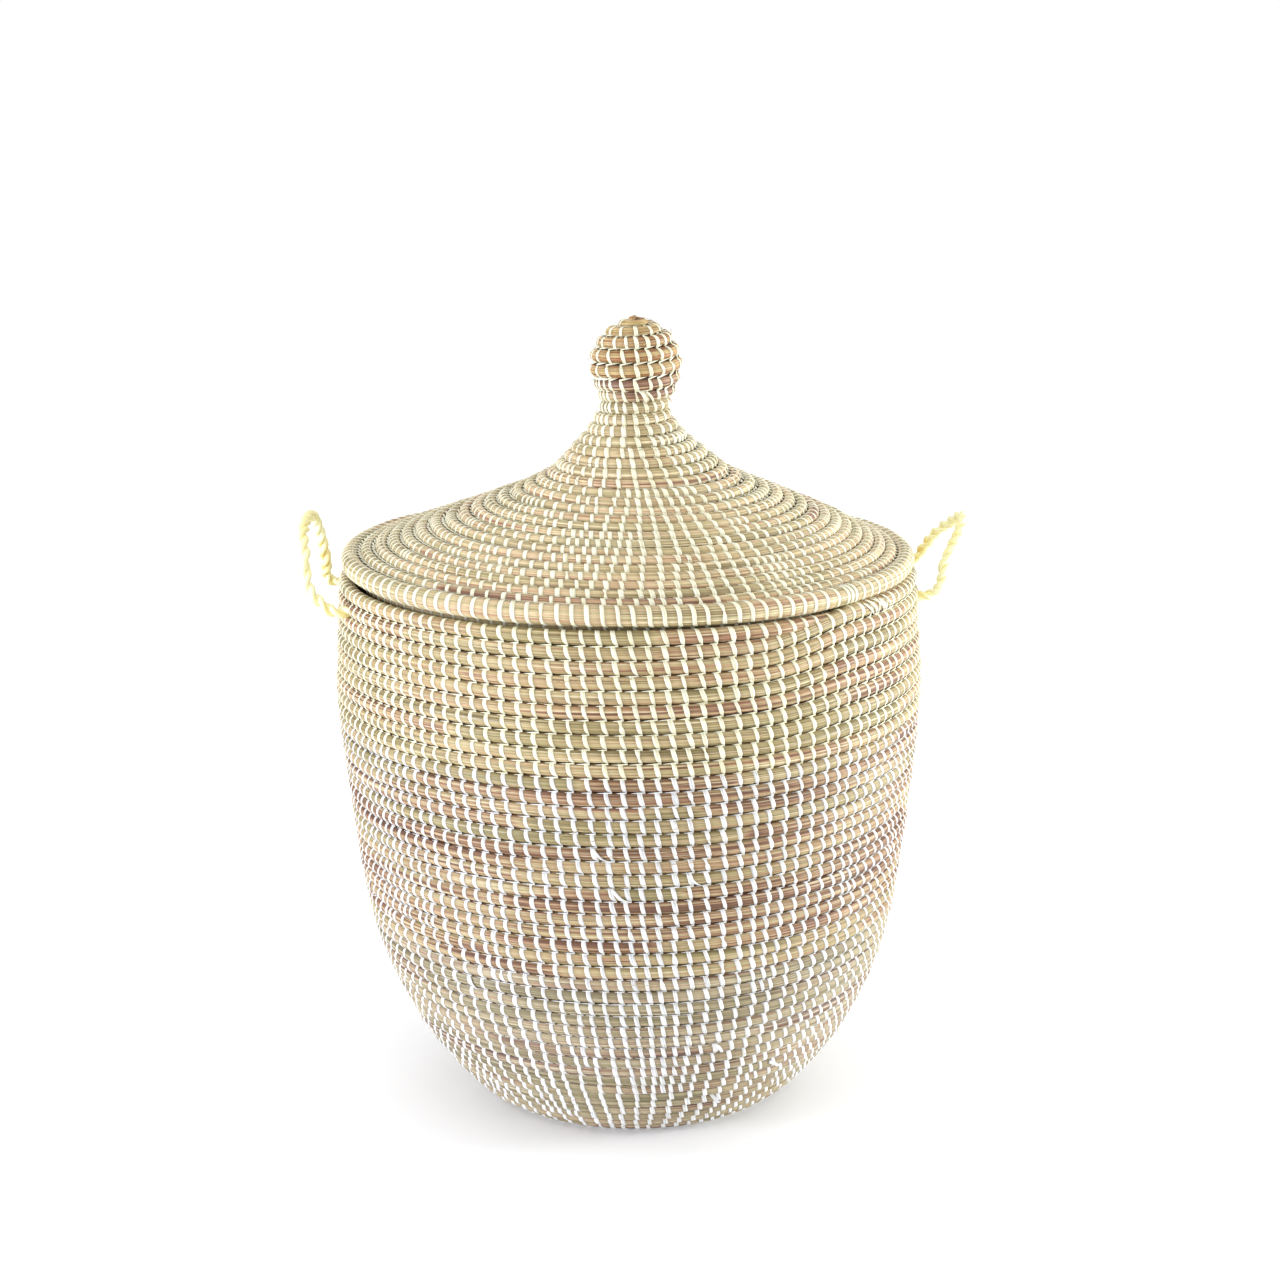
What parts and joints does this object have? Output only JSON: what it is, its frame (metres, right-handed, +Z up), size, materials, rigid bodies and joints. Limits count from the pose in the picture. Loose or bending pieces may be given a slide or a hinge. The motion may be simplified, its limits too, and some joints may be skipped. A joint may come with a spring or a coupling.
{
  "type": "lidded laundry basket",
  "caption": "Tall round coiled-grass laundry basket with a flared lid, a coiled bulb knob and twisted rope loop handles on its sides.",
  "frame": {"origin": "on the floor at the middle of the round base", "axes": "+Z up, +X towards the right handle, +Y away from the side that is seen from the front"},
  "size_m": [0.4883, 0.4304, 0.5814],
  "materials": {
    "grass_olive": "dry grass stems, satin",
    "grass_straw": "dry grass stems, satin",
    "grass_brown": "dry grass stems, matte",
    "strip_cream": "thin folded plastic strip, satin",
    "strip_white": "thin folded plastic strip, satin",
    "rope_yellow": "twisted plastic strips, satin"
  },
  "bodies": {
    "basket": {"base_button": "grass_brown", "base_coil": "grass_olive", "heel_coil": "grass_olive", "lower_wall_coil": "grass_olive", "middle_wall_coil": "grass_straw", "upper_wall_coil": "grass_straw", "rim_coil": "grass_straw", "rim_binding": "strip_cream", "handle_left_front_end": "rope_yellow", "handle_left_rear_end": "rope_yellow", "handle_right_front_end": "rope_yellow", "handle_right_rear_end": "rope_yellow"},
    "lid": {"lid_edge_coil": "grass_straw", "lid_edge_binding": "strip_cream", "lid_brim_coil": "grass_olive", "lid_crown_coil": "grass_straw", "lid_neck_coil": "grass_olive", "knob_coil": "grass_brown", "knob_button": "grass_brown", "lid_lip_coil": "grass_olive"},
    "handle_left": {"handle_left_ply_a": "rope_yellow", "handle_left_ply_b": "rope_yellow"},
    "handle_right": {"handle_right_ply_a": "rope_yellow", "handle_right_ply_b": "rope_yellow"}
  },
  "joints": [
    {"name": "lid_lift", "type": "slide", "parent": "basket", "child": "lid", "axis": [0, 0, 1], "range_m": [0, 0.3]},
    {"name": "handle_left_swing", "type": "hinge", "parent": "basket", "child": "handle_left", "pos_m": [-0.2147, 0, 0.3775], "axis": [0, 1, 0], "range_deg": [-150, 12]},
    {"name": "handle_right_swing", "type": "hinge", "parent": "basket", "child": "handle_right", "pos_m": [0.2147, 0, 0.3825], "axis": [0, -1, 0], "range_deg": [-135, 35]}
  ]
}
